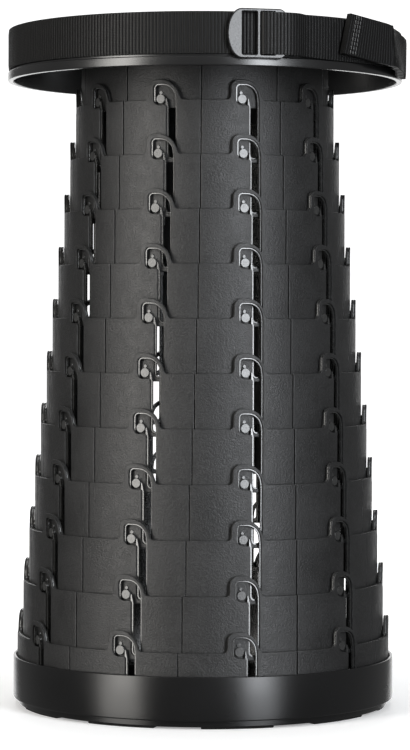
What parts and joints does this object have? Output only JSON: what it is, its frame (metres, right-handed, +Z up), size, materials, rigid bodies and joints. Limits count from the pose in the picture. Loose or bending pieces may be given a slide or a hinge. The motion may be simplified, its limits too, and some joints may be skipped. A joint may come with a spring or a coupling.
{
  "type": "telescoping camp stool",
  "caption": "Round camp stool whose ring-shaped leg tiers slide into each other, with pinned hooked slots, a rimmed round seat and a webbing carry strap.",
  "frame": {"origin": "on the stool's axis, in the plane of the rubber feet", "axes": "+Z up along the stool's axis, through the seat; -Y towards the front, where the strap's slider is just right of centre; +X to the right"},
  "size_m": [0.2586, 0.2585, 0.4382],
  "materials": {
    "tier_nylon": "fine grained, matte charcoal",
    "gloss_shell": "smooth, semi-gloss black",
    "screw_steel": "zinc plated",
    "foot_rubber": "dull black",
    "webbing": "ribbed polyester webbing",
    "slider_plastic": "satin dark grey"
  },
  "bodies": {
    "base": {"base_tray": "gloss_shell", "tier_11": "tier_nylon", "foot_01": "foot_rubber", "foot_02": "foot_rubber", "foot_03": "foot_rubber", "foot_04": "foot_rubber", "foot_05": "foot_rubber", "foot_06": "foot_rubber", "foot_07": "foot_rubber", "foot_08": "foot_rubber", "foot_09": "foot_rubber", "foot_10": "foot_rubber"},
    "tier_10": {"tier_10": "tier_nylon"},
    "tier_09": {"tier_09": "tier_nylon"},
    "tier_08": {"tier_08": "tier_nylon"},
    "tier_07": {"tier_07": "tier_nylon"},
    "tier_06": {"tier_06": "tier_nylon"},
    "tier_05": {"tier_05": "tier_nylon"},
    "tier_04": {"tier_04": "tier_nylon"},
    "tier_03": {"tier_03": "tier_nylon"},
    "tier_02": {"tier_02": "tier_nylon"},
    "tier_01": {"tier_01": "tier_nylon"},
    "seat": {"tier_00": "tier_nylon", "seat_shell": "gloss_shell", "seat_screw_1": "screw_steel", "seat_screw_2": "screw_steel", "seat_screw_3": "screw_steel", "seat_screw_4": "screw_steel", "seat_screw_5": "screw_steel", "strap": "webbing", "strap_tail": "webbing"},
    "slider": {"strap_slider": "slider_plastic", "strap_lap": "webbing"}
  },
  "joints": [
    {"name": "tier_10_slide", "type": "slide", "parent": "base", "child": "tier_10", "axis": [0, 0, 1], "range_m": [-0.03388, 0.005]},
    {"name": "tier_09_slide", "type": "slide", "parent": "tier_10", "child": "tier_09", "axis": [0, 0, 1], "range_m": [-0.03388, 0.005]},
    {"name": "tier_08_slide", "type": "slide", "parent": "tier_09", "child": "tier_08", "axis": [0, 0, 1], "range_m": [-0.03388, 0.005]},
    {"name": "tier_07_slide", "type": "slide", "parent": "tier_08", "child": "tier_07", "axis": [0, 0, 1], "range_m": [-0.03388, 0.005]},
    {"name": "tier_06_slide", "type": "slide", "parent": "tier_07", "child": "tier_06", "axis": [0, 0, 1], "range_m": [-0.03388, 0.005]},
    {"name": "tier_05_slide", "type": "slide", "parent": "tier_06", "child": "tier_05", "axis": [0, 0, 1], "range_m": [-0.03388, 0.005]},
    {"name": "tier_04_slide", "type": "slide", "parent": "tier_05", "child": "tier_04", "axis": [0, 0, 1], "range_m": [-0.03388, 0.005]},
    {"name": "tier_03_slide", "type": "slide", "parent": "tier_04", "child": "tier_03", "axis": [0, 0, 1], "range_m": [-0.03388, 0.005]},
    {"name": "tier_02_slide", "type": "slide", "parent": "tier_03", "child": "tier_02", "axis": [0, 0, 1], "range_m": [-0.03388, 0.005]},
    {"name": "tier_01_slide", "type": "slide", "parent": "tier_02", "child": "tier_01", "axis": [0, 0, 1], "range_m": [-0.03388, 0.005]},
    {"name": "seat_slide", "type": "slide", "parent": "tier_01", "child": "seat", "axis": [0, 0, 1], "range_m": [-0.03388, 0.005]},
    {"name": "slider_along_strap", "type": "hinge", "parent": "seat", "child": "slider", "pos_m": [0, 0, 0.4219], "axis": [0, 0, 1], "range_deg": [-25, 4]}
  ]
}
